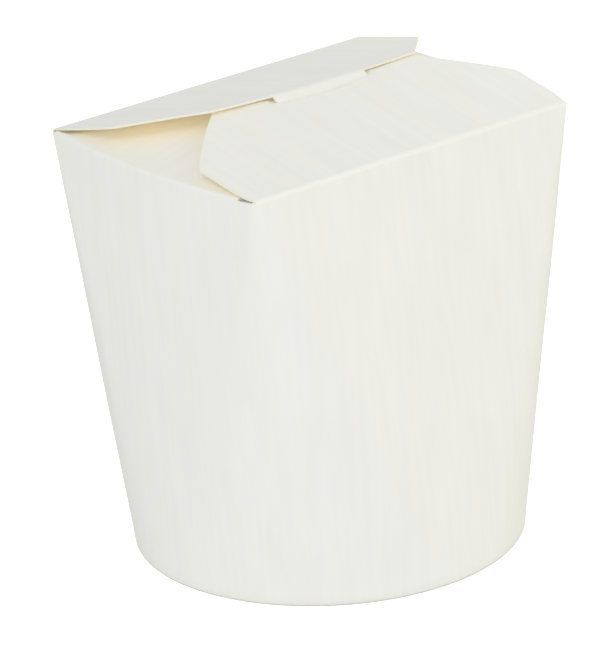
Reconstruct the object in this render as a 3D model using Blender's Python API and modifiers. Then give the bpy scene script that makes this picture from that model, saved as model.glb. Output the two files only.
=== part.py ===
"""A shut noodle takeaway box of plain white paperboard, as a pack that can't be seen into.

The wall is one wrap of board that stands on a round base and changes, without a crease on
the way up, into a top with four corners. The straight folds along the front and the rear
carry the two main flaps, which rise to a low ridge: the rear flap lies over the front one,
and the tongue in the middle of its edge dives through a slit in the front flap. The side
flaps spring up a little beneath them and close the ends. Everything inside is one filled
body. The base is a disc set up inside the foot of the wall.

Metres, +Z up. The origin is the middle of the foot, on the surface that the box stands on.
+X runs along the folds and -Y is the front.
"""

import math

import bmesh
import bpy

MM = 0.001

# Driving dimensions
FOLD_HEIGHT = 100.0 * MM         # from the table to the front and rear folds
BASE_RADIUS = 45.0 * MM          # outside of the round foot
FOLD_HALF_LENGTH = 45.4 * MM     # half a fold, from the middle to a corner
FOLD_HALF_SPACING = 35.8 * MM    # half the distance from the front fold to the rear one
SIDE_BOW = 2.3 * MM              # how far the side creases swing out between corners
SIDE_SLOPE = math.radians(12.3)  # how steeply the side flaps rise inward from their creases
CORE_SLOPE = math.radians(8.8)   # the same for the body, out of sight beneath the main flaps
BOARD = 0.5 * MM                 # thickness of the paperboard
CLEARANCE = 0.3 * MM             # the least gap left between pieces that meet

# The front flap: distances inward from its fold, and heights above the folds
FRONT_CORNER_REACH = 17.6 * MM
FRONT_CORNER_HALF_WIDTH = 45.8 * MM
FRONT_CORNER_RISE = 3.5 * MM
FRONT_END_REACH = 35.4 * MM
FRONT_END_HALF_WIDTH = 27.4 * MM
FRONT_END_RISE = 7.2 * MM
FRONT_LEVEL_REACH = 33.2 * MM    # from here to its end the flap lies level under the rear one
FRONT_CUT_BULGE = 1.1 * MM       # its cut corners are slightly rounded outward

# The rear flap
REAR_CORNER_REACH = 22.0 * MM
REAR_CORNER_HALF_WIDTH = 44.6 * MM
REAR_CORNER_RISE = 5.0 * MM
REAR_END_REACH = 38.0 * MM
REAR_END_HALF_WIDTH = 29.4 * MM
REAR_END_RISE = 8.6 * MM

# The lock: the rear flap's tongue and the front flap's slit
TONGUE_HALF_WIDTH = 13.2 * MM
TONGUE_TIP_HALF_WIDTH = 10.2 * MM
TONGUE_LENGTH = 8.3 * MM         # measured level, from the rear flap's edge
TONGUE_BEND = 1.8 * MM           # level length of the bend between flap and tongue
TONGUE_DIVE = 2.2 * MM           # level length of its steep run through the slit
TONGUE_SLOPE = math.radians(46)  # how steeply it dives there
SLIT_SIDE_GAP = 0.7 * MM
SLIT_GAP = 0.45 * MM             # level room before and behind the tongue

# The foot
FOOT_WIDTH = 1.7 * MM            # wall and turned-in hem together
BASE_RECESS = 6.5 * MM           # from the table up to the body of the pack

# Facets
BASE_SEGMENTS = 120
SIDE_SEGMENTS = 12
CUT_SEGMENTS = 4
BEND_SEGMENTS = 4

FOLD_INSET = 0.05 * MM           # the flaps' roots stand this far inside the wall's top edge
ROOT_OVERLAP = 0.1 * MM          # how deep a flap's root is bedded in the body


def new_object(name, bm, collection, material=None):
    """An object that holds bm's geometry, in the given collection."""
    mesh = bpy.data.meshes.new(name)
    bm.to_mesh(mesh)
    bm.free()
    if material is not None:
        mesh.materials.append(material)
    obj = bpy.data.objects.new(name, mesh)
    collection.objects.link(obj)
    return obj


def as_guide(obj):
    """Marks obj as a helper that shapes another object and is no part of the model."""
    obj.hide_render = True
    obj.display_type = "WIRE"
    return obj


def add_boolean(obj, operation, other):
    modifier = obj.modifiers.new(f"{operation.lower()} {other.name}", "BOOLEAN")
    modifier.operation = operation
    modifier.object = other
    return modifier


def paperboard(name, colour, roughness):
    material = bpy.data.materials.new(name)
    material.use_nodes = True
    shader = material.node_tree.nodes["Principled BSDF"]
    shader.inputs["Base Color"].default_value = (*colour, 1.0)
    shader.inputs["Roughness"].default_value = roughness
    shader.inputs["Metallic"].default_value = 0.0
    return material


def side_crease(sign):
    """Points along one side crease, an arc through two corners that swings out by SIDE_BOW."""
    radius = (FOLD_HALF_SPACING**2 + SIDE_BOW**2) / (2 * SIDE_BOW)
    half_angle = math.asin(FOLD_HALF_SPACING / radius)
    centre = FOLD_HALF_LENGTH + SIDE_BOW - radius
    points = []
    for i in range(SIDE_SEGMENTS + 1):
        angle = half_angle * (2 * i / SIDE_SEGMENTS - 1)
        points.append((sign * (centre + radius * math.cos(angle)), sign * radius * math.sin(angle)))
    return points


def filled_wall():
    """The body of the pack: everything inside the wall and the side flaps. It is the hull of
    the round foot and the four-cornered top outline, which is the shape that a board takes
    when it is wrapped round both, and of a short ridge where its four upper slopes meet."""
    bm = bmesh.new()
    bmesh.ops.create_circle(bm, segments=BASE_SEGMENTS, radius=BASE_RADIUS)
    corner_height = FOLD_HEIGHT - BOARD + ROOT_OVERLAP
    for sign in (-1, 1):
        for x, y in side_crease(sign):
            drop = (abs(x) - FOLD_HALF_LENGTH) * math.tan(SIDE_SLOPE)
            bm.verts.new((x, y, corner_height - drop))
    ridge_rise = FOLD_HALF_SPACING * math.tan(CORE_SLOPE)
    ridge_half_length = FOLD_HALF_LENGTH - ridge_rise / math.tan(SIDE_SLOPE)
    for sign in (-1, 1):
        bm.verts.new((sign * ridge_half_length, 0, corner_height + ridge_rise))
    hull = bmesh.ops.convex_hull(bm, input=bm.verts)
    spare = [v for v in hull["geom_interior"] + hull["geom_unused"] if isinstance(v, bmesh.types.BMVert)]
    bmesh.ops.delete(bm, geom=spare, context="VERTS")
    bmesh.ops.recalc_face_normals(bm, faces=bm.faces)
    return bm


def rounded_cut(start, end, bulge):
    """Points after start, up to and with end, along an arc that stands out by bulge."""
    (x0, y0), (x1, y1) = start, end
    length = math.hypot(x1 - x0, y1 - y0)
    out = ((y1 - y0) / length, -(x1 - x0) / length)
    points = []
    for i in range(1, CUT_SEGMENTS + 1):
        t = i / CUT_SEGMENTS
        push = 4 * bulge * t * (1 - t)
        points.append((x0 + (x1 - x0) * t + push * out[0], y0 + (y1 - y0) * t + push * out[1]))
    return points


def flap_outline(corner, end, bulge=0.0, tongue=()):
    """The right half of a flap's flat outline, then its left half. Each point is
    (distance from the middle, distance inward from the fold)."""
    root = (FOLD_HALF_LENGTH - FOLD_INSET, FOLD_INSET)
    cut = rounded_cut(corner, end, bulge) if bulge else [end]
    right = [root, corner, *cut, *tongue]
    left = [(-x, y) for x, y in reversed(right)]
    return right + left


def interpolate(profile, reach):
    """The height of a flap at a distance from its fold, along straight runs between points."""
    for (r0, z0), (r1, z1) in zip(profile, profile[1:]):
        if reach <= r1:
            return z0 + (z1 - z0) * (reach - r0) / (r1 - r0)
    return profile[-1][1]


def flap(name, outline, profile, front, collection):
    """One main flap: its flat outline, bent across each point of its profile of
    (distance inward from the fold, height above the fold), and given the board's thickness."""
    direction = 1 if front else -1
    bm = bmesh.new()
    bm.faces.new([bm.verts.new((x, reach, 0)) for x, reach in outline])
    for reach, _ in profile[1:-1]:
        geometry = bm.verts[:] + bm.edges[:] + bm.faces[:]
        bmesh.ops.bisect_plane(bm, geom=geometry, plane_co=(0, reach, 0), plane_no=(0, 1, 0))
    for vert in bm.verts:
        reach = vert.co.y
        vert.co.z = FOLD_HEIGHT + interpolate(profile, reach)
        vert.co.y = direction * (reach - FOLD_HALF_SPACING)
    bmesh.ops.recalc_face_normals(bm, faces=bm.faces)
    if sum(face.normal.z for face in bm.faces) < 0:
        bmesh.ops.reverse_faces(bm, faces=bm.faces)
    obj = as_guide(new_object(name, bm, collection))
    board = obj.modifiers.new("board", "SOLIDIFY")
    board.thickness = BOARD
    board.offset = -1
    board.use_even_offset = True
    return obj


def front_profile():
    """The front flap's height at each bend: two straight runs, then level at its end."""
    return [
        (0.0, 0.0),
        (FRONT_CORNER_REACH, FRONT_CORNER_RISE),
        (FRONT_LEVEL_REACH, FRONT_END_RISE),
        (FRONT_END_REACH, FRONT_END_RISE),
    ]


def front_slope():
    """The front flap's slope near the slit, as rise over run."""
    return (FRONT_END_RISE - FRONT_CORNER_RISE) / (FRONT_LEVEL_REACH - FRONT_CORNER_REACH)


def rear_profile():
    """The rear flap's height along its middle: up to its edge, round the bend of the tongue,
    steeply down through the slit, then back under the front flap and level with its slope."""
    rise = (REAR_END_RISE - REAR_CORNER_RISE) / (REAR_END_REACH - REAR_CORNER_REACH)
    start_angle = math.atan(rise)
    points = [(0.0, 0.0), (REAR_CORNER_REACH, REAR_CORNER_RISE), (REAR_END_REACH, REAR_END_RISE)]
    reach, height = points[-1]
    for i in range(BEND_SEGMENTS):
        share = (i + 1) / BEND_SEGMENTS
        angle = start_angle * (1 - share) - TONGUE_SLOPE * share
        reach += TONGUE_BEND / BEND_SEGMENTS
        height += math.tan(angle) * TONGUE_BEND / BEND_SEGMENTS
        points.append((reach, height))
    reach += TONGUE_DIVE
    height -= math.tan(TONGUE_SLOPE) * TONGUE_DIVE
    points.append((reach, height))
    tip = REAR_END_REACH + TONGUE_LENGTH
    points.append((tip, height - front_slope() * (tip - reach)))
    return points


def slit_cutter(collection):
    """A block where the steep run of the tongue passes through the front flap, with room
    before and behind. On that run the tongue falls by steep * (y0 - y) from (y0, z0), and the
    front flap by slope * (y1 - y) from (y1, z1)."""
    reach, z0 = rear_profile()[-3]
    y0 = FOLD_HALF_SPACING - reach
    y1, z1 = FRONT_LEVEL_REACH - FOLD_HALF_SPACING, FRONT_END_RISE
    steep, slope = math.tan(TONGUE_SLOPE), front_slope()

    def crossing(tongue_offset, flap_offset):
        return (z1 - flap_offset - slope * y1 - z0 + tongue_offset + steep * y0) / (steep - slope)

    tongue_depth = BOARD / math.cos(TONGUE_SLOPE)
    flap_depth = BOARD / math.cos(math.atan(slope))
    rear_side = crossing(tongue_depth, 0) + SLIT_GAP
    front_side = crossing(0, flap_depth) - SLIT_GAP
    bm = bmesh.new()
    bmesh.ops.create_cube(bm, size=1)
    for vert in bm.verts:
        vert.co.x *= 2 * (TONGUE_HALF_WIDTH + SLIT_SIDE_GAP)
        vert.co.y = rear_side if vert.co.y > 0 else front_side
        vert.co.z = FOLD_HEIGHT + FRONT_END_RISE + (4 * BOARD if vert.co.z > 0 else -6 * BOARD)
    return as_guide(new_object("slit_cutter", bm, collection))


def cylinder(name, radius, low, high, collection, material=None):
    bm = bmesh.new()
    bmesh.ops.create_cone(
        bm, cap_ends=True, segments=BASE_SEGMENTS, radius1=radius, radius2=radius, depth=high - low
    )
    bmesh.ops.translate(bm, vec=(0, 0, (low + high) / 2), verts=bm.verts)
    return new_object(name, bm, collection, material)


def build_wrap(model, helpers):
    """The wrap: wall, side flaps and body as one, with the main flaps folded out of it."""
    white = paperboard("white paperboard", (0.80, 0.80, 0.75), 0.55)
    tip = REAR_END_REACH + TONGUE_LENGTH
    tongue = [
        (TONGUE_HALF_WIDTH, REAR_END_REACH),
        (TONGUE_HALF_WIDTH, tip - (TONGUE_HALF_WIDTH - TONGUE_TIP_HALF_WIDTH)),
        (TONGUE_TIP_HALF_WIDTH, tip),
    ]
    front = flap(
        "front_flap",
        flap_outline(
            (FRONT_CORNER_HALF_WIDTH, FRONT_CORNER_REACH),
            (FRONT_END_HALF_WIDTH, FRONT_END_REACH),
            FRONT_CUT_BULGE,
        ),
        front_profile(),
        True,
        helpers,
    )
    add_boolean(front, "DIFFERENCE", slit_cutter(helpers))
    rear = flap(
        "rear_flap",
        flap_outline(
            (REAR_CORNER_HALF_WIDTH, REAR_CORNER_REACH),
            (REAR_END_HALF_WIDTH, REAR_END_REACH),
            tongue=tongue,
        ),
        rear_profile(),
        False,
        helpers,
    )
    recess = as_guide(
        cylinder("base_recess", BASE_RADIUS - FOOT_WIDTH, -BASE_RECESS, BASE_RECESS, helpers)
    )
    wrap = new_object("box_wrap", filled_wall(), model, white)
    add_boolean(wrap, "UNION", front)
    add_boolean(wrap, "UNION", rear)
    add_boolean(wrap, "DIFFERENCE", recess)
    wrap.data.shade_smooth()
    wrap.data.set_sharp_from_angle(angle=math.radians(25))
    return wrap


def build_base(model):
    """The disc of board that closes the bottom, up inside the foot."""
    uncoated = paperboard("base paperboard", (0.78, 0.77, 0.70), 0.65)
    top = BASE_RECESS - CLEARANCE
    radius = BASE_RADIUS - FOOT_WIDTH - CLEARANCE
    return cylinder("base_disc", radius, top - BOARD, top, model, uncoated)


def main():
    for obj in list(bpy.data.objects):
        bpy.data.objects.remove(obj, do_unlink=True)
    model = bpy.data.collections.new("noodle takeaway box")
    helpers = bpy.data.collections.new("cutters and flap blanks")
    for collection in (model, helpers):
        bpy.context.scene.collection.children.link(collection)
    build_wrap(model, helpers)
    build_base(model)


main()
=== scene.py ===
"""The looks of a shut noodle takeaway box of plain white coated paperboard.

One blank of board makes the whole wrap: hem, wall, side flaps, main flaps and tongue. It is
worked out as one sheet of points in its folded shape, with a rounded bend at every crease,
and then given the board's thickness, so that its cut edges show the cream core of the board.
The base is a shallow tray of board, set up inside the foot.

Metres, +Z up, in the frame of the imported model: the foot stands on z = 0, +X runs along the
straight folds and -Y is the front.
"""

import math

import bmesh
import bpy
import numpy as np
from mathutils import Matrix, Vector


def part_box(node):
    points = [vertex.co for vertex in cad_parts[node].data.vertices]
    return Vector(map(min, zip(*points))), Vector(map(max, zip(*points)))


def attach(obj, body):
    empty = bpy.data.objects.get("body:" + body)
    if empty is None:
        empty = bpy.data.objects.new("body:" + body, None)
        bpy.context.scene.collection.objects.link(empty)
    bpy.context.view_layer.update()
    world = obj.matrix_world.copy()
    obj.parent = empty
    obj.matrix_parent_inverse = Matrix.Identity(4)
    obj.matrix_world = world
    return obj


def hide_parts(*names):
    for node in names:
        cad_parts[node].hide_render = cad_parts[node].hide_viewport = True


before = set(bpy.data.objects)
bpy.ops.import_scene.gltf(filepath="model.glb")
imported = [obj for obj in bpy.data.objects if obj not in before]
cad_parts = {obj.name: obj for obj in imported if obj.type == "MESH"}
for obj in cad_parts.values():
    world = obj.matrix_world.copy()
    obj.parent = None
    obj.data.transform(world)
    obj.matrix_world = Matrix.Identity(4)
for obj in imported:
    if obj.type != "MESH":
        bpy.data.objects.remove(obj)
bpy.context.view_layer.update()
wrap_low, wrap_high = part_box("box_wrap")
disc_low, disc_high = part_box("base_disc")

MM = 0.001

# The board
BOARD = 0.5 * MM
CREASE_RADIUS = 0.6 * MM          # outside of the bend at a crease
TOUCHING = 0.1 * MM               # left between boards that lie on each other

# The wall: a round foot and a four-cornered top
BASE_RADIUS = wrap_high.y
SIDE_BOW = 2.3 * MM               # how far a side crease swings out between its corners
FOLD_HALF_LENGTH = wrap_high.x - SIDE_BOW
FOLD_HALF_SPACING = 35.8 * MM
FOLD_HEIGHT = 100.0 * MM
CORNER_ROUNDING = 0.7 * MM        # of the top outline
CORNER_LIFT = 0.3 * MM            # how far the wall's edge rises in the middle of a corner
FOOT_SPREAD = math.radians(3)     # a straight fold's panel narrows to this much of the foot, each way
UNEVENNESS = 0.16 * MM            # how far the wall strays from its true shape

# The foot
FOOT_BEND = 0.85 * MM             # outside radius of the board turned in at the foot
HEM_TOP = 5.0 * MM
TRAY_BEND = 1.0 * MM              # inside radius of the base's rim
TRAY_DOME = 0.25 * MM
TRAY_SKIRT = 2.2 * MM

# The glued seam, at the rear right corner
SEAM_ANGLE = math.radians(50)     # where it meets the foot
SEAM_STEP = 0.42 * MM
SEAM_LEAST = 0.03 * MM            # its step at the foot
SEAM_WIDTH = 9.0 * MM
SEAM_FADE = 4.0 * MM

# The side flaps
SIDE_SLOPE = math.radians(12.3)
SIDE_RELIEF_FRONT = 4.8 * MM      # from a front corner to where a side flap starts
SIDE_RELIEF_REAR = 2.0 * MM
SIDE_REACH = 26.0 * MM
SIDE_TAPER = 0.24                 # how much narrower it is at its end
SIDE_CREASE_WEAR_AND_HIGHLIGHT = 0.12           # how much of a straight fold's whitening and painted highlight its crease has

# The front flap: reaches are level distances inward from the fold
FRONT_CORNER_REACH = 17.6 * MM
FRONT_CORNER_HALF_WIDTH = 45.7 * MM
FRONT_END_REACH = 35.4 * MM
FRONT_END_HALF_WIDTH = 27.4 * MM
FRONT_CUT_BULGE = 0.7 * MM
FRONT_RISE = 7.7 * MM
FRONT_SAG = 0.32 * MM

# The rear flap
REAR_CORNER_REACH = 22.0 * MM
REAR_CORNER_HALF_WIDTH = 44.5 * MM
REAR_END_REACH = 38.0 * MM
REAR_END_HALF_WIDTH = 29.4 * MM
REAR_RISE = 7.9 * MM              # of its edge, where that is lowest
REAR_LOW_AT = 8.0 * MM            # x of that place
REAR_CURL = 0.62 * MM             # how much its edge curls up at REAR_CURL_REACH from there
REAR_CURL_REACH = 29.0 * MM
REAR_SAG = 0.4 * MM

FLAP_GAP = 0.3 * MM              # left between the main flaps, up to where they touch
GAP_END = 20.0 * MM

# The tongue and its slit
TONGUE_CENTRE = 1.1 * MM
TONGUE_HALF_WIDTH = 13.4 * MM
TONGUE_BEND_REACH = 37.0 * MM     # from the rear fold to where the tongue starts to bend down
TONGUE_BEND = 2.4 * MM            # length of that bend
TONGUE_DIVE = math.radians(38)    # how steeply it runs through the slit
TONGUE_RUN = 1.7 * MM             # length of the steep run
TONGUE_LENGTH = 11.5 * MM
TONGUE_TIP = 0.76                 # width of its tip, as a share of its root
TONGUE_CROWN = 0.45 * MM          # how much higher its middle is than its sides
SLIT_CURVE = 1.5 * MM             # how far the slit's ends lie behind its middle
SLIT_FRONT = 30.2 * MM            # the slit's edges, from the front fold, in its middle
SLIT_REAR = 31.4 * MM
SLIT_END_GAP = 0.25 * MM
SLIT_CURVE_FADE = 12 * MM         # over which the columns before the slit take up its curve


# ------------------------------------------------------------------ small tools

def linear(code):
    """The linear colour of an sRGB hex code."""
    channels = [int(code[i : i + 2], 16) / 255 for i in (1, 3, 5)]
    return tuple(c / 12.92 if c <= 0.04045 else ((c + 0.055) / 1.055) ** 2.4 for c in channels)


def through(stations, steps):
    """Values that run through all the stations, with so many equal steps from each to the next."""
    runs = [np.linspace(a, b, n, endpoint=False) for a, b, n in zip(stations, stations[1:], steps)]
    return np.append(np.concatenate(runs), stations[-1])


def smooth_min(a, b, softness):
    """The lower of a and b, with the corner between them rounded off over about softness."""
    return 0.5 * (a + b - np.sqrt((a - b) ** 2 + softness**2))


def smooth_step(t):
    """0 up to t = 0, 1 from t = 1 on, and a smooth rise in between."""
    t = np.clip(t, 0, 1)
    return t * t * (3 - 2 * t)


class Sheet:
    """A surface that grows patch by patch. A patch is a grid of points; the patches share the
    points along their common edge by sharing their numbers. Each point also has a grain place:
    where it is on the board, with flaps thought of as unfolded straight up, in metres. And it
    is creased or not: 1 on a bend, 0 elsewhere."""

    def __init__(self):
        self.points, self.grain, self.creased, self.quads, self.kinds = [], [], [], [], []
        self.count = 0

    def add(self, points, grain, creased=0.0):
        """Adds a grid of points and returns the grid of their numbers."""
        shape = points.shape[:-1]
        self.creased.append(np.broadcast_to(creased, shape).ravel())
        numbers = self.count + np.arange(int(np.prod(shape))).reshape(shape)
        self.points.append(points.reshape(-1, 3))
        self.grain.append(np.broadcast_to(grain, points.shape).reshape(-1, 3))
        self.count += numbers.size
        return numbers

    def skin(self, numbers, kind=0, keep=None):
        """Faces between the neighbours of a grid of numbers, where keep is true. They face the
        viewer who sees the columns run to the right and the rows run up."""
        quads = np.stack([numbers[:-1, :-1], numbers[:-1, 1:], numbers[1:, 1:], numbers[1:, :-1]], -1)
        quads = quads.reshape(-1, 4) if keep is None else quads[keep]
        self.quads.append(quads)
        self.kinds.append(np.full(len(quads), kind))

    def piece(self, name, materials):
        """The finished surface as an object, smooth, with its grain places as an attribute."""
        mesh = bpy.data.meshes.new(name)
        mesh.from_pydata(np.concatenate(self.points).tolist(), [], np.concatenate(self.quads).tolist())
        grain = mesh.attributes.new("grain", "FLOAT_VECTOR", "POINT")
        grain.data.foreach_set("vector", np.concatenate(self.grain).astype(np.float32).ravel())
        creased = mesh.attributes.new("creased", "FLOAT", "POINT")
        creased.data.foreach_set("value", np.concatenate(self.creased).astype(np.float32))
        for material in materials:
            mesh.materials.append(material)
        mesh.polygons.foreach_set("material_index", np.concatenate(self.kinds).astype(np.int32))
        mesh.shade_smooth()
        mesh.update()
        obj = bpy.data.objects.new(name, mesh)
        bpy.context.scene.collection.objects.link(obj)
        return obj


def close_poles(obj):
    """Merges the points that coincide, so that a ring of no width becomes one point."""
    mesh = bmesh.new()
    mesh.from_mesh(obj.data)
    bmesh.ops.remove_doubles(mesh, verts=mesh.verts, dist=0.001 * MM)
    mesh.to_mesh(obj.data)
    mesh.free()


def settle_modifiers(obj, sharp_angle):
    """Makes what the modifiers give the object's own mesh, with hard edges where it turns sharply."""
    evaluated = obj.evaluated_get(bpy.context.evaluated_depsgraph_get())
    mesh = bpy.data.meshes.new_from_object(evaluated)
    obj.modifiers.clear()
    obj.data = mesh
    mesh.set_sharp_from_angle(angle=sharp_angle)


# ------------------------------------------------------------------ materials

def node(tree, kind, inputs=None, **settings):
    """Adds a node to the tree, sets its settings, and sets or links its inputs."""
    made = tree.nodes.new(kind)
    for key, value in settings.items():
        setattr(made, key, value)
    for key, value in (inputs or {}).items():
        if isinstance(value, bpy.types.NodeSocket):
            tree.links.new(value, made.inputs[key])
        else:
            made.inputs[key].default_value = value
    return made


def board_places(tree, across, along):
    """Places on the board, scaled so that a pattern with features one unit wide has features
    across wide and along long, in metres, with its length running up the box."""
    grain = node(tree, "ShaderNodeAttribute", attribute_name="grain", attribute_type="GEOMETRY")
    scale = (1 / across, 1 / across, 1 / along)
    mapping = node(tree, "ShaderNodeMapping", {"Vector": grain.outputs["Vector"], "Scale": scale})
    return mapping.outputs["Vector"]


def tone(tree, vector, dark, light, detail=2.0):
    """A colour that drifts between two close tones with the noise at vector."""
    noise = node(tree, "ShaderNodeTexNoise", {"Vector": vector, "Scale": 1.0, "Detail": detail})
    ramp = node(tree, "ShaderNodeValToRGB", {"Fac": noise.outputs["Fac"]})
    ramp.color_ramp.elements[0].position = 0.35
    ramp.color_ramp.elements[0].color = (*linear(dark), 1)
    ramp.color_ramp.elements[1].position = 0.65
    ramp.color_ramp.elements[1].color = (*linear(light), 1)
    return ramp.outputs["Color"]


def coated_board():
    """Bleached kraft board with a thin film of polyethylene, as rolled and die-cut: an even
    warm white with a soft satin sheen, a faint cloudiness from the pulp, faint streaks along
    the grain, and the fine pebble of fibres under the film. Along a crease the colour is whiter:
    partly the strained film, partly a painted highlight along the fold."""
    material = bpy.data.materials.new("coated paperboard")
    material.use_nodes = True
    tree = material.node_tree
    shader = tree.nodes["Principled BSDF"]
    clouds = board_places(tree, 9 * MM, 22 * MM)
    streaks = board_places(tree, 1.6 * MM, 60 * MM)
    fibres = board_places(tree, 0.35 * MM, 0.6 * MM)
    cloudy = tone(tree, clouds, "#FDFDFA", "#FFFFFD")
    streaky = tone(tree, streaks, "#FBFAF8", "#FDFCF9", 1.0)
    flat = node(
        tree,
        "ShaderNodeMix",
        {"Factor": 1.0, 6: cloudy, 7: streaky},
        data_type="RGBA",
        blend_type="MULTIPLY",
    )
    # Painted highlight along the creases, together with the strained film's whitening: a whiter colour mixed
    # in by the creased attribute
    bent = node(tree, "ShaderNodeAttribute", attribute_name="creased", attribute_type="GEOMETRY")
    colour = node(
        tree,
        "ShaderNodeMix",
        {"Factor": bent.outputs["Fac"], 6: flat.outputs[2], 7: (*linear("#FFFEF9"), 1)},
        data_type="RGBA",
    )
    tree.links.new(colour.outputs[2], shader.inputs["Base Color"])
    pebble = node(tree, "ShaderNodeTexNoise", {"Vector": fibres, "Scale": 1.0, "Detail": 3.0})
    streak = node(tree, "ShaderNodeTexNoise", {"Vector": streaks, "Scale": 1.0, "Detail": 2.0})
    film = node(
        tree,
        "ShaderNodeMapRange",
        {"Value": pebble.outputs["Fac"], "From Min": 0.3, "From Max": 0.7, "To Min": 0.42, "To Max": 0.56},
    )
    tree.links.new(film.outputs["Result"], shader.inputs["Roughness"])
    lines = node(
        tree,
        "ShaderNodeBump",
        {"Height": streak.outputs["Fac"], "Strength": 0.15, "Distance": 0.03 * MM},
    )
    relief = node(
        tree,
        "ShaderNodeBump",
        {
            "Height": pebble.outputs["Fac"],
            "Strength": 0.35,
            "Distance": 0.02 * MM,
            "Normal": lines.outputs["Normal"],
        },
    )
    tree.links.new(relief.outputs["Normal"], shader.inputs["Normal"])
    shader.inputs["IOR"].default_value = 1.5
    return material


def inner_board():
    """The inside of the same board: the bare fibre side, warmer and quite matt."""
    material = bpy.data.materials.new("paperboard inside")
    material.use_nodes = True
    tree = material.node_tree
    shader = tree.nodes["Principled BSDF"]
    clouds = board_places(tree, 2 * MM, 4 * MM)
    fibres = board_places(tree, 0.3 * MM, 0.8 * MM)
    tree.links.new(tone(tree, clouds, "#FEF6DE", "#FFF9E6"), shader.inputs["Base Color"])
    pebble = node(tree, "ShaderNodeTexNoise", {"Vector": fibres, "Scale": 1.0, "Detail": 3.0})
    relief = node(
        tree, "ShaderNodeBump", {"Height": pebble.outputs["Fac"], "Strength": 0.5, "Distance": 0.04 * MM}
    )
    tree.links.new(relief.outputs["Normal"], shader.inputs["Normal"])
    shader.inputs["Roughness"].default_value = 0.85
    shader.inputs["IOR"].default_value = 1.45
    return material


def cut_board():
    """The cut edge of the board, where the die has gone through: cream pressed fibres, rough,
    with faint flecks of a darker cream."""
    material = bpy.data.materials.new("paperboard cut edge")
    material.use_nodes = True
    tree = material.node_tree
    shader = tree.nodes["Principled BSDF"]
    flecks = board_places(tree, 0.4 * MM, 0.4 * MM)
    tree.links.new(tone(tree, flecks, "#F8F2E0", "#FDF8EB", 4.0), shader.inputs["Base Color"])
    pebble = node(tree, "ShaderNodeTexNoise", {"Vector": flecks, "Scale": 2.0, "Detail": 3.0})
    relief = node(
        tree, "ShaderNodeBump", {"Height": pebble.outputs["Fac"], "Strength": 0.6, "Distance": 0.06 * MM}
    )
    tree.links.new(relief.outputs["Normal"], shader.inputs["Normal"])
    shader.inputs["Roughness"].default_value = 0.95
    shader.inputs["IOR"].default_value = 1.45
    return material


# ------------------------------------------------------------------ shapes of the flaps

def rear_edge_rise(x):
    """Height of the rear flap's edge above the folds: a shallow bowl, lowest near the tongue."""
    return REAR_RISE + REAR_CURL * ((x - REAR_LOW_AT) / REAR_CURL_REACH) ** 2


def rear_height(x, reach):
    """The rear flap above the folds: straight up to its edge, with a sag towards its corners."""
    t = reach / REAR_END_REACH
    sag = REAR_SAG * (x / REAR_CORNER_HALF_WIDTH) ** 2 * 4 * t * (1 - t)
    return rear_edge_rise(x) * t - sag


def tongue_path(lengths):
    """The tongue's level distance from the rear fold and its drop, at lengths along it from the
    start of its bend: the slope turns evenly from the flap's own to TONGUE_DIVE, stays there for
    TONGUE_RUN, and turns back to lie along the front flap's underside. The path is the running
    sum of short steps along that slope."""
    start = math.atan(REAR_RISE / REAR_END_REACH)
    under = math.atan(FRONT_RISE / FRONT_END_REACH)
    fine = np.linspace(0, lengths[-1], 400)
    down = smooth_step(fine / TONGUE_BEND)
    back = smooth_step((fine - TONGUE_BEND - TONGUE_RUN) / (0.6 * TONGUE_BEND))
    slope = start - (start + TONGUE_DIVE) * down + (TONGUE_DIVE - under) * back
    step = fine[1]
    level = np.cumsum(np.cos(slope)) * step
    rise = np.cumsum(np.sin(slope)) * step
    reach = TONGUE_BEND_REACH + np.interp(lengths, fine, level - level[0])
    return reach, np.interp(lengths, fine, rise - rise[0])


def over_front_flap(x, y):
    """Height above the folds of the underside of what lies on the front flap at x, y: the rear
    flap up to its edge and, between the tongue's sides, the tongue where it bends down."""
    reach = FOLD_HALF_SPACING - y
    flap = rear_height(x, np.minimum(reach, REAR_END_REACH))
    lengths = np.linspace(0, TONGUE_LENGTH, 60)
    path_reach, path_rise = tongue_path(lengths)
    start = rear_height(x, TONGUE_BEND_REACH)
    tongue = start + np.interp(reach, path_reach, path_rise) - TONGUE_CROWN
    beside = smooth_step((np.abs(x - TONGUE_CENTRE) - TONGUE_HALF_WIDTH) / (2 * MM))
    covered = np.where(reach > TONGUE_BEND_REACH, tongue * (1 - beside) + flap * beside, flap)
    return covered - 1.05 * BOARD


def front_height(x, reach):
    """The front flap above the folds: nearly straight, and pressed down where the rear flap and
    the tongue lie on it."""
    t = reach / FRONT_END_REACH
    sag = FRONT_SAG * (0.4 + 0.6 * (x / FRONT_CORNER_HALF_WIDTH) ** 2) * 4 * t * (1 - t)
    own = FRONT_RISE * t - sag
    y = reach - FOLD_HALF_SPACING
    gap = FLAP_GAP - (FLAP_GAP - TOUCHING) * smooth_step((x - GAP_END) / (5 * MM))
    pressed = over_front_flap(x, y) - gap
    under = smooth_step((reach - slit_shift(x) - SLIT_FRONT) / (SLIT_REAR - SLIT_FRONT))
    return own + (smooth_min(own, pressed, 0.1 * MM) - own) * under


def slit_shift(x):
    """How far the slit lies behind its middle, at x: a parabola that levels off past its ends."""
    share = np.clip((x - TONGUE_CENTRE) / TONGUE_HALF_WIDTH, -1.1, 1.1)
    return SLIT_CURVE * share**2


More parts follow.
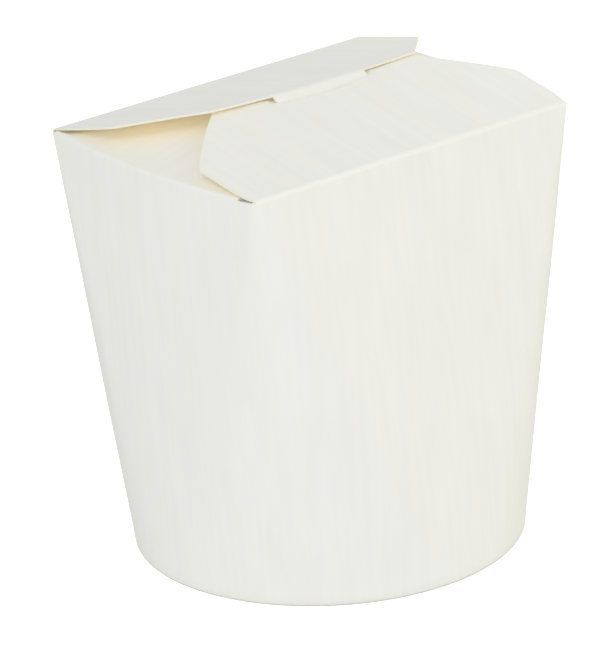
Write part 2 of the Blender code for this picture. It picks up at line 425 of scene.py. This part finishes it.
def front_half_width(reach):
    """Half the front flap's width: almost even to its corners, then along its rounded cuts."""
    share = np.clip((reach - FRONT_CORNER_REACH) / (FRONT_END_REACH - FRONT_CORNER_REACH), -0.2, 1)
    cut = FRONT_CORNER_HALF_WIDTH + (FRONT_END_HALF_WIDTH - FRONT_CORNER_HALF_WIDTH) * share
    cut = cut + FRONT_CUT_BULGE * 4 * share * (1 - share)
    even = np.where(reach < FRONT_CORNER_REACH - 3 * MM, FRONT_CORNER_HALF_WIDTH, cut)
    return smooth_min(FRONT_CORNER_HALF_WIDTH, even, 0.3 * MM) + 0.15 * MM


def rear_half_width(reach):
    """Half the rear flap's width: almost even to its corners, then along its straight cuts."""
    share = (reach - REAR_CORNER_REACH) / (REAR_END_REACH - REAR_CORNER_REACH)
    cut = REAR_CORNER_HALF_WIDTH + (REAR_END_HALF_WIDTH - REAR_CORNER_HALF_WIDTH) * share
    return smooth_min(REAR_CORNER_HALF_WIDTH, cut, 0.6 * MM)


# ------------------------------------------------------------------ the wrap

# The top outline's corner: its rounding lies inside both the straight fold and the side arc
SIDE_ARC = (FOLD_HALF_SPACING**2 + SIDE_BOW**2) / (2 * SIDE_BOW)
SIDE_CENTRE = FOLD_HALF_LENGTH + SIDE_BOW - SIDE_ARC
CORNER_Y = FOLD_HALF_SPACING - CORNER_ROUNDING
CORNER_X = SIDE_CENTRE + math.sqrt((SIDE_ARC - CORNER_ROUNDING) ** 2 - CORNER_Y**2)
SIDE_ANGLE = math.asin(CORNER_Y / (SIDE_ARC - CORNER_ROUNDING))
RELIEF_ANGLE_FRONT = math.asin((FOLD_HALF_SPACING - SIDE_RELIEF_FRONT) / SIDE_ARC)
RELIEF_ANGLE_REAR = math.asin((FOLD_HALF_SPACING - SIDE_RELIEF_REAR) / SIDE_ARC)
QUARTER = math.pi / 2


def fold_stretch(side, shares):
    """Columns along a straight fold: top point, outward direction, and place on the foot."""
    foot = side * (QUARTER - FOOT_SPREAD * shares)
    even = np.full(len(shares), side)
    return np.stack([CORNER_X * shares, FOLD_HALF_SPACING * even, QUARTER * even, foot], -1)


def corner_stretch(right, rear, turns):
    """Columns round a top corner. turns are outward directions, as angles from the X axis."""
    foot = SIDE_ANGLE + (turns - SIDE_ANGLE) * (QUARTER - FOOT_SPREAD - SIDE_ANGLE) / (QUARTER - SIDE_ANGLE)
    x = right * (CORNER_X + CORNER_ROUNDING * np.cos(turns))
    y = rear * (CORNER_Y + CORNER_ROUNDING * np.sin(turns))
    outward, foot = (np.arctan2(rear * np.sin(a), right * np.cos(a)) for a in (turns, foot))
    return np.stack([x, y, outward, foot], -1)


def side_stretch(right, turns):
    """Columns along a side crease. turns are outward directions, as angles from the X axis."""
    x = right * (SIDE_CENTRE + SIDE_ARC * np.cos(turns))
    y = SIDE_ARC * np.sin(turns)
    outward = np.arctan2(np.sin(turns), right * np.cos(turns))
    return np.stack([x, y, outward, outward], -1)


def columns():
    """All the columns of the wrap, once round from the glued seam, and the numbers of those
    that each flap grows from."""
    seam_turn = SIDE_ANGLE + (SEAM_ANGLE - SIDE_ANGLE) * (QUARTER - SIDE_ANGLE) / (
        QUARTER - FOOT_SPREAD - SIDE_ANGLE
    )
    tongue_left = (TONGUE_CENTRE - TONGUE_HALF_WIDTH) / rear_half_width(TONGUE_BEND_REACH)
    tongue_right = (TONGUE_CENTRE + TONGUE_HALF_WIDTH) / rear_half_width(TONGUE_BEND_REACH)
    slit_width = TONGUE_HALF_WIDTH + SLIT_END_GAP
    slit_left = (TONGUE_CENTRE - slit_width) / front_half_width(SLIT_REAR)
    slit_right = (TONGUE_CENTRE + slit_width) / front_half_width(SLIT_REAR)
    round_corner = np.linspace(SIDE_ANGLE, QUARTER, 19)
    front_relief = np.linspace(-SIDE_ANGLE, -RELIEF_ANGLE_FRONT, 4)
    rear_relief = np.linspace(RELIEF_ANGLE_REAR, SIDE_ANGLE, 4)
    crease = np.linspace(-RELIEF_ANGLE_FRONT, RELIEF_ANGLE_REAR, 41)
    stretches = {
        "seam": corner_stretch(1, 1, np.linspace(seam_turn, QUARTER, 12)),
        "rear": fold_stretch(1, through([1, tongue_right, tongue_left, -1], [18, 28, 18])),
        "rear left": corner_stretch(-1, 1, round_corner[::-1]),
        "left relief 1": side_stretch(-1, rear_relief[::-1]),
        "left": side_stretch(-1, crease[::-1]),
        "left relief 2": side_stretch(-1, front_relief[::-1]),
        "front left": corner_stretch(-1, -1, round_corner),
        "front": fold_stretch(-1, through([-1, slit_left, slit_right, 1], [18, 28, 18])),
        "front right": corner_stretch(1, -1, round_corner[::-1]),
        "right relief 1": side_stretch(1, front_relief),
        "right": side_stretch(1, crease),
        "right relief 2": side_stretch(1, rear_relief),
        "rear right": corner_stretch(1, 1, np.linspace(SIDE_ANGLE, seam_turn, 9)),
    }
    numbers, rows, count = {}, [], 0
    for name, stretch in stretches.items():
        numbers[name] = np.arange(count, count + len(stretch))
        rows.append(stretch[:-1])
        count += len(stretch) - 1
    rows.append(stretch[-1:])
    return np.concatenate(rows), numbers


def radial(angle, level, height):
    """Points at a level distance from the axis, in the direction of angle, at a height."""
    return np.stack(np.broadcast_arrays(level * np.cos(angle), level * np.sin(angle), height), -1)


def uneven(points, outward, height_share):
    """How far the wall stands out of its true shape: a few long slow waves, none at its ends."""
    x, y, z = (points / MM).transpose(2, 0, 1)
    waves = (
        np.sin(0.061 * x + 0.043 * z + 1.3)
        + 0.8 * np.sin(0.083 * y - 0.052 * z + 0.4)
        + 0.5 * np.sin(0.12 * x - 0.09 * y + 0.095 * z)
    )
    return UNEVENNESS / 2.3 * waves * np.sin(np.pi * height_share) ** 0.7


def build_wrap(materials):
    """The sheet, patch by patch: hem, foot and wall in one, then the bends at the creases and
    the flaps beyond them."""
    sheet = Sheet()
    loop, numbers = columns()
    x, y, outward, foot = loop.T
    on_side = np.abs(np.cos(outward)) > 0.1
    crease_height = FOLD_HEIGHT - np.where(
        on_side, math.tan(SIDE_SLOPE) * np.maximum(np.abs(x) - FOLD_HALF_LENGTH, 0), 0
    )
    crease = np.stack([x, y, crease_height], -1)
    out = radial(outward, 1.0, 0.0)
    up = np.array([0.0, 0.0, 1.0])

    # The wall leans by its run from the foot to the crease, and the flap by its first rise
    low = radial(foot, BASE_RADIUS, FOOT_BEND)
    run = ((crease - low) * out).sum(-1)
    lean = np.arctan2(crease[:, 2] - low[:, 2], run)
    rise = np.full(len(loop), math.tan(SIDE_SLOPE))
    first = 0.5 * MM
    rise[numbers["rear"]] = rear_height(x[numbers["rear"]], first) / first
    rise[numbers["front"]] = front_height(x[numbers["front"]], first) / first
    turn = math.pi - np.arctan(rise) - lean
    tangent = CREASE_RADIUS * np.tan(turn / 2)
    along = np.cos(lean)[:, None] * out + np.sin(lean)[:, None] * up
    inward = -np.sin(lean)[:, None] * out + np.cos(lean)[:, None] * up
    top = crease - tangent[:, None] * along
    for name in numbers:
        if name in ("seam", "rear left", "front left", "front right", "rear right"):
            around = loop[numbers[name]]
            middle = np.abs(np.sin(2 * around[:, 2]))
            top[numbers[name]] += up * (CORNER_LIFT * middle)[:, None]

    # Hem, foot and wall
    hem_radius = BASE_RADIUS - 2 * FOOT_BEND
    hem_levels = np.linspace(HEM_TOP, FOOT_BEND, 5)[:-1, None]
    hem = radial(foot, hem_radius, np.broadcast_to(hem_levels, (4, len(loop))))
    angles = np.linspace(-math.pi, 0, 11)[:-1, None]
    bend_level = BASE_RADIUS - FOOT_BEND + FOOT_BEND * np.cos(angles)
    bend = radial(foot, bend_level, FOOT_BEND + FOOT_BEND * np.sin(angles) * np.ones_like(foot))
    share = through([0, 1 - CREASE_RADIUS / FOLD_HEIGHT, 1], [56, 1])[:, None]
    wall = low + share[..., None] * (top - low)
    wall = wall + uneven(wall, out, share)[..., None] * out
    from_seam = np.append(0, np.cumsum(np.linalg.norm(np.diff(low, axis=0), axis=1)))
    over = 1 - smooth_step((from_seam - SEAM_WIDTH) / SEAM_FADE)
    rows = np.concatenate([hem, bend, wall])
    level_share = np.clip((rows[..., 2] - FOOT_BEND) / FOLD_HEIGHT, 0, 1)
    above_foot = smooth_step(level_share * FOLD_HEIGHT / (3 * MM))
    above_foot[: len(hem) + len(bend)] = 0
    step = over * (SEAM_STEP * above_foot * (1 - 0.55 * level_share) + SEAM_LEAST)
    rows = rows + step[..., None] * out
    wall = rows[-len(wall) :]
    # The wall's top row starts the crease's whitening and painted highlight
    creased = np.zeros(rows.shape[:-1])
    creased[-1] = np.where(on_side, SIDE_CREASE_WEAR_AND_HIGHLIGHT, 1)
    wall_numbers = sheet.add(rows, rows, creased)
    sheet.skin(wall_numbers)
    sheet.skin(wall_numbers[:, [-1, 0]], kind=2)

    def crease_rows(name):
        """Rows round the bend above the wall, from just past its top edge to the flap."""
        i = numbers[name]
        turned = (np.linspace(0, 1, 8)[1:, None] * turn[i])[..., None]
        moved = np.sin(turned) * along[i] + (1 - np.cos(turned)) * inward[i]
        return wall[-1, i] + CREASE_RADIUS * moved

    def grow(name, flap_points, flap_grain, keep=None):
        """Adds a flap: the bend at its crease and its own rows, on top of the wall."""
        bend_points = crease_rows(name)
        # The bend's rows carry the crease's whitening and painted highlight
        creased = np.arange(len(bend_points) + len(flap_points)) < len(bend_points)
        creased = creased * (SIDE_CREASE_WEAR_AND_HIGHLIGHT if name in ("left", "right") else 1.0)
        added = sheet.add(
            np.concatenate([bend_points, flap_points]),
            np.concatenate([bend_points, flap_grain]),
            creased[:, None],
        )
        grid = np.concatenate([wall_numbers[-1:, numbers[name]], added])
        mask = None
        if keep is not None:
            whole = np.ones((len(bend_points) + 1, keep.shape[1]), bool)
            mask = np.concatenate([whole, keep])[: len(grid) - 1]
        sheet.skin(grid, keep=mask)
        return added

    # Front flap, with the cells of the slit left out
    i = numbers["front"]
    shares = x[i] / CORNER_X
    stations = through(
        [1.2 * MM, FRONT_CORNER_REACH, SLIT_FRONT, SLIT_REAR, FRONT_END_REACH], [14, 10, 2, 5]
    )
    before = smooth_step(1 - (SLIT_FRONT - stations) / SLIT_CURVE_FADE)
    behind = 1 - (stations - SLIT_REAR) / (FRONT_END_REACH - SLIT_REAR)
    near_slit = np.minimum(before, np.minimum(behind, 1))
    even_x = shares * front_half_width(stations)[:, None]
    reach = stations[:, None] + near_slit[:, None] * slit_shift(even_x)
    half = front_half_width(reach)
    half = half - (half - CORNER_X) * np.exp(-(reach - 1.2 * MM) / (2 * MM))
    level_x = shares * half
    height = front_height(level_x, reach)
    points = np.stack([level_x, reach - FOLD_HALF_SPACING, FOLD_HEIGHT + height], -1)
    grain = np.stack(
        [level_x, np.full_like(reach, -FOLD_HALF_SPACING), FOLD_HEIGHT + reach], -1
    )
    in_slit = (stations[:-1] >= SLIT_FRONT - 1e-6) & (stations[:-1] < SLIT_REAR - 1e-6)
    between = np.zeros(len(i) - 1, bool)
    between[18:46] = True
    grow("front", points, grain, keep=~(in_slit[:, None] & between))

    # Rear flap up to the start of the tongue, then a tab on each side of it, and the tongue
    i = numbers["rear"]
    shares = x[i] / CORNER_X
    stations = through([1.2 * MM, REAR_CORNER_REACH, TONGUE_BEND_REACH], [16, 12])
    half = rear_half_width(stations)
    level_x = shares * half[:, None]
    reach = stations[:, None] * np.ones_like(level_x)
    points = np.stack([level_x, FOLD_HALF_SPACING - reach, FOLD_HEIGHT + rear_height(level_x, reach)], -1)
    grain = np.stack([level_x, np.full_like(reach, FOLD_HALF_SPACING), FOLD_HEIGHT + reach], -1)
    rear = grow("rear", points, grain)[-1]
    for tab in (slice(0, 19), slice(46, 65)):
        stations = np.linspace(TONGUE_BEND_REACH, REAR_END_REACH, 4)[1:]
        level_x = shares[tab] * rear_half_width(stations)[:, None]
        reach = stations[:, None] * np.ones_like(level_x)
        points = np.stack(
            [level_x, FOLD_HALF_SPACING - reach, FOLD_HEIGHT + rear_height(level_x, reach)], -1
        )
        grain = np.stack([level_x, np.full_like(reach, FOLD_HALF_SPACING), FOLD_HEIGHT + reach], -1)
        sheet.skin(np.concatenate([rear[None, tab], sheet.add(points, grain)]))

    tongue = slice(18, 47)
    lengths = np.linspace(0, TONGUE_LENGTH, 27)[1:]
    path_reach, path_rise = tongue_path(np.append(0, lengths))
    across = (shares[tongue] * rear_half_width(TONGUE_BEND_REACH) - TONGUE_CENTRE) / TONGUE_HALF_WIDTH
    share = lengths / TONGUE_LENGTH
    narrow = 1 - 0.02 * smooth_step(share * 12) - (0.98 - TONGUE_TIP) * smooth_step((share - 0.72) / 0.28) ** 2
    level_x = TONGUE_CENTRE + TONGUE_HALF_WIDTH * across * narrow[:, None]
    start = rear_height(TONGUE_CENTRE + TONGUE_HALF_WIDTH * across, TONGUE_BEND_REACH)
    crown = TONGUE_CROWN * smooth_step(share / 0.35)[:, None] * across**2
    height = FOLD_HEIGHT + start + path_rise[1:, None] - crown
    reach = path_reach[1:, None] * np.ones_like(level_x)
    points = np.stack([level_x, FOLD_HALF_SPACING - reach, height], -1)
    grain = np.stack([level_x, np.full_like(reach, FOLD_HALF_SPACING), FOLD_HEIGHT + reach], -1)
    sheet.skin(np.concatenate([rear[None, tongue], sheet.add(points, grain)]))

    # Side flaps: plane, and pressed down from above where the main flaps lie on them
    for name, right in (("left", -1), ("right", 1)):
        i = numbers[name]
        reach = through([1.2 * MM, SIDE_REACH], [22])[:, None]
        narrow = 1 - SIDE_TAPER * (reach / SIDE_REACH) ** 2
        level_x = right * (np.abs(x[i]) - reach)
        level_y = y[i] * narrow
        plane = (FOLD_HALF_LENGTH - np.abs(level_x)) * math.tan(SIDE_SLOPE)
        under_front = front_height(level_x, level_y + FOLD_HALF_SPACING) - BOARD - TOUCHING
        under_rear = rear_height(level_x, FOLD_HALF_SPACING - level_y) - BOARD - TOUCHING
        pressed = smooth_min(under_front, under_rear, 0.2 * MM)
        eased = smooth_step(reach / (2.5 * MM))
        height = plane + (smooth_min(plane, pressed, 0.25 * MM) - plane) * eased
        points = np.stack([level_x, level_y, FOLD_HEIGHT + height], -1)
        grain = np.stack(np.broadcast_arrays(x[i], level_y, FOLD_HEIGHT + reach), -1)
        grow(name, points, grain)

    wrap = sheet.piece("folded_wrap", materials)
    board = wrap.modifiers.new("board", "SOLIDIFY")
    board.thickness = BOARD
    board.offset = -1
    board.use_even_offset = True
    board.material_offset = 1
    board.material_offset_rim = 2
    settle_modifiers(wrap, math.radians(38))
    return wrap


def build_tray(materials):
    """The base: a turned profile, flat and slightly domed, then down round its rim into a skirt
    that stands between the wall and the hem. The profile runs out along its underside, round
    the skirt's edge and back along its top; each point turns about the axis."""
    low, high = disc_low.z, disc_high.z
    thickness = high - low
    rim = BASE_RADIUS - 2 * FOOT_BEND - 0.4 * MM
    quarter = np.linspace(QUARTER, 0, 9)
    flat = np.linspace(0, 1, 13)[:-1] * rim
    inner = np.stack([rim + TRAY_BEND * np.cos(quarter), low - TRAY_BEND + TRAY_BEND * np.sin(quarter)], -1)
    outer_bend = TRAY_BEND + thickness
    outer = np.stack([rim + outer_bend * np.cos(quarter), low - TRAY_BEND + outer_bend * np.sin(quarter)], -1)
    foot = low - TRAY_BEND - TRAY_SKIRT
    edge = [[rim + TRAY_BEND, foot], [rim + outer_bend, foot]]
    dome = TRAY_DOME * (1 - (flat / rim) ** 2)
    profile = np.concatenate(
        [
            np.stack([flat, low + dome], -1),
            inner,
            edge,
            outer[::-1],
            np.stack([flat, high + dome], -1)[::-1],
        ]
    )
    angles = np.linspace(0, 2 * math.pi, 145)[:-1]
    points = radial(angles, profile[:, :1], profile[:, 1:])
    sheet = Sheet()
    grid = sheet.add(points, points)
    closed = np.concatenate([grid, grid[:, :1]], 1)
    sheet.skin(closed)
    tray = sheet.piece("base_tray", materials)
    close_poles(tray)
    return tray


# ------------------------------------------------------------------ studio

CONTACT_REACH = 0.8 * MM          # of the contact shade beyond the foot
CONTACT_DEPTH = 0.1 * MM
TABLE_LIGHT = 0.815               # from below the horizon
TENT_LIGHT = 0.735                # from above it
TENT_LIGHT_BEHIND = 0.645
BEHIND = 141.4                    # azimuth, in degrees, of what lies straight behind the box


def area_light(name, azimuth, elevation, distance, size, power, colour):
    """A square softbox that points at the middle of the box."""
    back = way(azimuth, elevation)
    light = bpy.data.lights.new(name, "AREA")
    light.size = size
    light.energy = power
    light.color = colour
    lamp = bpy.data.objects.new(name, light)
    lamp.location = Vector((0, 0, FOLD_HEIGHT / 2)) + back * distance
    lamp.rotation_euler = back.to_track_quat("Z", "Y").to_euler()
    bpy.context.scene.collection.objects.link(lamp)


def way(azimuth, elevation):
    """The unit vector at an azimuth and elevation in degrees. Azimuth 0 is in front, 90 right."""
    a, e = math.radians(azimuth), math.radians(elevation)
    return Vector((math.sin(a) * math.cos(e), -math.cos(a) * math.cos(e), math.sin(e)))


def white_tent():
    """A world that is white all round: brighter below the horizon, as a lit white table is, and
    a little dimmer behind the box, where the tent opens. What counts there is how much a
    direction points that way: the cosine of the angle between the two."""
    world = bpy.data.worlds.new("white tent")
    world.use_nodes = True
    tree = world.node_tree
    directions = node(tree, "ShaderNodeTexCoord").outputs["Generated"]
    cosine = node(
        tree,
        "ShaderNodeVectorMath",
        {0: directions, 1: way(BEHIND, 0)},
        operation="DOT_PRODUCT",
    )
    height = node(tree, "ShaderNodeSeparateXYZ", {"Vector": directions}).outputs["Z"]
    all_round = node(
        tree,
        "ShaderNodeMapRange",
        {
            "Value": height,
            "From Min": -0.2,
            "From Max": 0.2,
            "To Min": TABLE_LIGHT,
            "To Max": TENT_LIGHT,
        },
    )
    strength = node(
        tree,
        "ShaderNodeMapRange",
        {
            "Value": cosine.outputs["Value"],
            "From Min": 0.0,
            "From Max": 0.9,
            "To Min": all_round.outputs["Result"],
            "To Max": TENT_LIGHT_BEHIND,
        },
        interpolation_type="SMOOTHSTEP",
    )
    background = tree.nodes["Background"]
    background.inputs["Color"].default_value = (0.985, 1.0, 0.985, 1)
    tree.links.new(strength.outputs["Result"], background.inputs["Strength"])
    bpy.context.scene.world = world


def light_through_board():
    """A dim warm panel close under the rear flap's left end, parallel to it and facing down: the
    daylight that comes through the flap into the gap under it."""
    light = bpy.data.lights.new("through the board", "AREA")
    light.shape = "RECTANGLE"
    light.size = 24 * MM
    light.size_y = 18 * MM
    light.energy = 4.5e-5
    light.color = (1.0, 0.87, 0.66)
    lamp = bpy.data.objects.new("through the board", light)
    reach = 28 * MM
    height = FOLD_HEIGHT + REAR_RISE * reach / REAR_END_REACH - BOARD - 0.7 * MM
    lamp.location = (-31 * MM, FOLD_HALF_SPACING - reach, height)
    lamp.rotation_euler = (-math.atan(REAR_RISE / REAR_END_REACH), 0, 0)
    lamp.visible_camera = False
    bpy.context.scene.collection.objects.link(lamp)


def light_inside():
    """A small lamp in the shut box: the daylight that gets in through its board. It is blue
    because the many bounces between the warm inner faces take most of the blue away."""
    light = bpy.data.lights.new("inside the box", "POINT")
    light.shadow_soft_size = 10 * MM
    light.energy = 0.0095
    light.color = (0.16, 0.36, 1.0)
    lamp = bpy.data.objects.new("inside the box", light)
    lamp.location = (0, 0, FOLD_HEIGHT / 2)
    bpy.context.scene.collection.objects.link(lamp)


def contact_shade():
    """A dull disc just under the foot, out of the camera's sight: it keeps the glow of the table
    from the underside of the foot's bend, so that a thin dark line shows where the box stands."""
    bpy.ops.mesh.primitive_circle_add(
        vertices=144, radius=BASE_RADIUS + CONTACT_REACH, fill_type="NGON",
        location=(0, 0, -CONTACT_DEPTH),
    )
    disc = bpy.context.object
    disc.name = "contact shade"
    material = bpy.data.materials.new("shaded table")
    material.use_nodes = True
    shader = material.node_tree.nodes["Principled BSDF"]
    shader.inputs["Base Color"].default_value = (*linear("#C4C2B8"), 1)
    shader.inputs["Roughness"].default_value = 0.9
    disc.data.materials.append(material)
    disc.visible_camera = False


def build_studio():
    """A white table that glows like a light box, so that no shadow shows, a white tent, softboxes
    and the light that comes through the rear flap."""
    white_tent()
    bpy.ops.mesh.primitive_plane_add(size=4.0, location=(0, 0, -0.2 * MM))
    floor = bpy.context.object
    floor.name = "floor"
    material = bpy.data.materials.new("white light table")
    material.use_nodes = True
    shader = material.node_tree.nodes["Principled BSDF"]
    shader.inputs["Base Color"].default_value = (*linear("#F4F4F4"), 1)
    shader.inputs["Roughness"].default_value = 0.9
    shader.inputs["Emission Color"].default_value = (1, 1, 1, 1)
    shader.inputs["Emission Strength"].default_value = 0.95
    floor.data.materials.append(material)
    floor.visible_diffuse = False
    floor.visible_glossy = False
    contact_shade()
    area_light("key softbox", -48, 45, 1.2, 0.2, 1.5, (1.0, 1.0, 1.0))
    area_light("front softbox", -30, 5, 1.2, 0.6, 1.15, (1.0, 1.0, 1.05))
    area_light("right softbox", 75, 5, 1.2, 0.6, 2.1, (1.0, 0.99, 0.4))
    area_light("rear right softbox", 110, 35, 0.22, 0.1, 0.021, (1.0, 1.0, 0.95))
    light_through_board()
    light_inside()
    bpy.context.scene.view_settings.view_transform = "Standard"
    bpy.context.scene.cycles.max_bounces = 32
    bpy.context.scene.cycles.diffuse_bounces = 32


def build_camera():
    """A long lens from the front left, a little above, rolled by a few degrees."""
    roll = math.radians(-2.988)
    distance, shift_right, shift_up = 1.09382, -4.5846 * MM, -0.9005 * MM
    back = way(-38.593, 21.151)
    right = Vector((0, 0, 1)).cross(back).normalized()
    up = back.cross(right)
    level, upright = right, up
    right = math.cos(roll) * level + math.sin(roll) * upright
    up = math.cos(roll) * upright - math.sin(roll) * level
    camera = bpy.data.objects.new("camera", bpy.data.cameras.new("camera"))
    camera.data.sensor_width = 36.0
    camera.data.lens = 264.77
    camera.data.clip_start = 0.05
    place = Vector((0, 0, FOLD_HEIGHT / 2)) + shift_right * right + shift_up * up + distance * back
    turn = Matrix((right, up, back)).transposed()
    camera.matrix_world = Matrix.Translation(place) @ turn.to_4x4()
    bpy.context.scene.collection.objects.link(camera)
    bpy.context.scene.camera = camera


# ------------------------------------------------------------------ the object

build_studio()
build_camera()
coated, inside, cut = coated_board(), inner_board(), cut_board()
wrap = build_wrap([coated, inside, cut])
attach(wrap, "root")
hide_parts("box_wrap")
tray = build_tray([coated])
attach(tray, "root")
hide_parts("base_disc")
